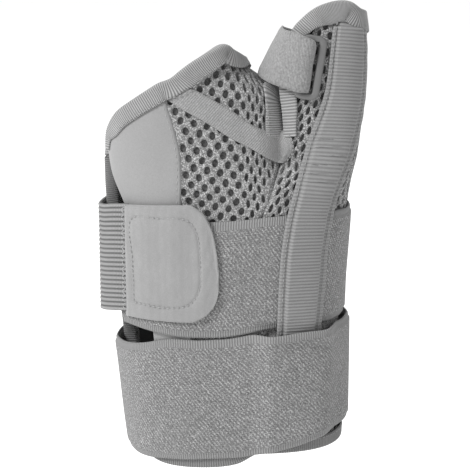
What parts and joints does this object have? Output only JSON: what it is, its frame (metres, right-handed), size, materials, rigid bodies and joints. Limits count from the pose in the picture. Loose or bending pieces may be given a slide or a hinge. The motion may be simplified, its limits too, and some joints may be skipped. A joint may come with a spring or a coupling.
{
  "type": "thumb spica splint",
  "caption": "Soft wrist and thumb splint: a mesh sleeve with an open thumb tube, wide closing straps, a stay pocket and a thumb strap on a ring, in its worn form.",
  "frame": {"origin": "middle of the hollow at the height of the wrist, between the two wide straps", "axes": "+Z from the forearm to the fingertips, +X towards the thumb, -Y the side with the stay tape, the hook tab and the ring"},
  "size_m": [0.1216, 0.0708, 0.2114],
  "materials": {
    "mesh": "knitted spacer mesh, matt",
    "plush": "brushed foam laminate, matt",
    "backing": "ribbed woven tape, matt",
    "binding": "fine ribbed elastic tape, matt",
    "elastic": "loop pile elastic, matt",
    "webbing": "ribbed elastic webbing, matt",
    "tab": "brushed velour, matt",
    "tape": "ribbed woven tape, matt",
    "strap": "fine knitted strap, matt",
    "plastic": "moulded, satin"
  },
  "bodies": {
    "root": {"front_side_panel": "plush", "front_palm_mesh": "mesh", "thumb_mesh": "mesh", "back_palm_mesh": "mesh", "back_side_panel": "plush", "palm_top_binding": "binding", "web_binding": "binding", "thumb_binding": "binding", "hem_binding": "backing", "back_side_binding": "binding", "middle_strap": "elastic", "side_webbing": "webbing", "lower_strap": "elastic", "hook_tab": "tab", "stay_tape": "tape", "diagonal_band": "binding", "web_patch": "binding", "strap_ring": "plastic", "thumb_strap": "strap"}
  },
  "joints": []
}
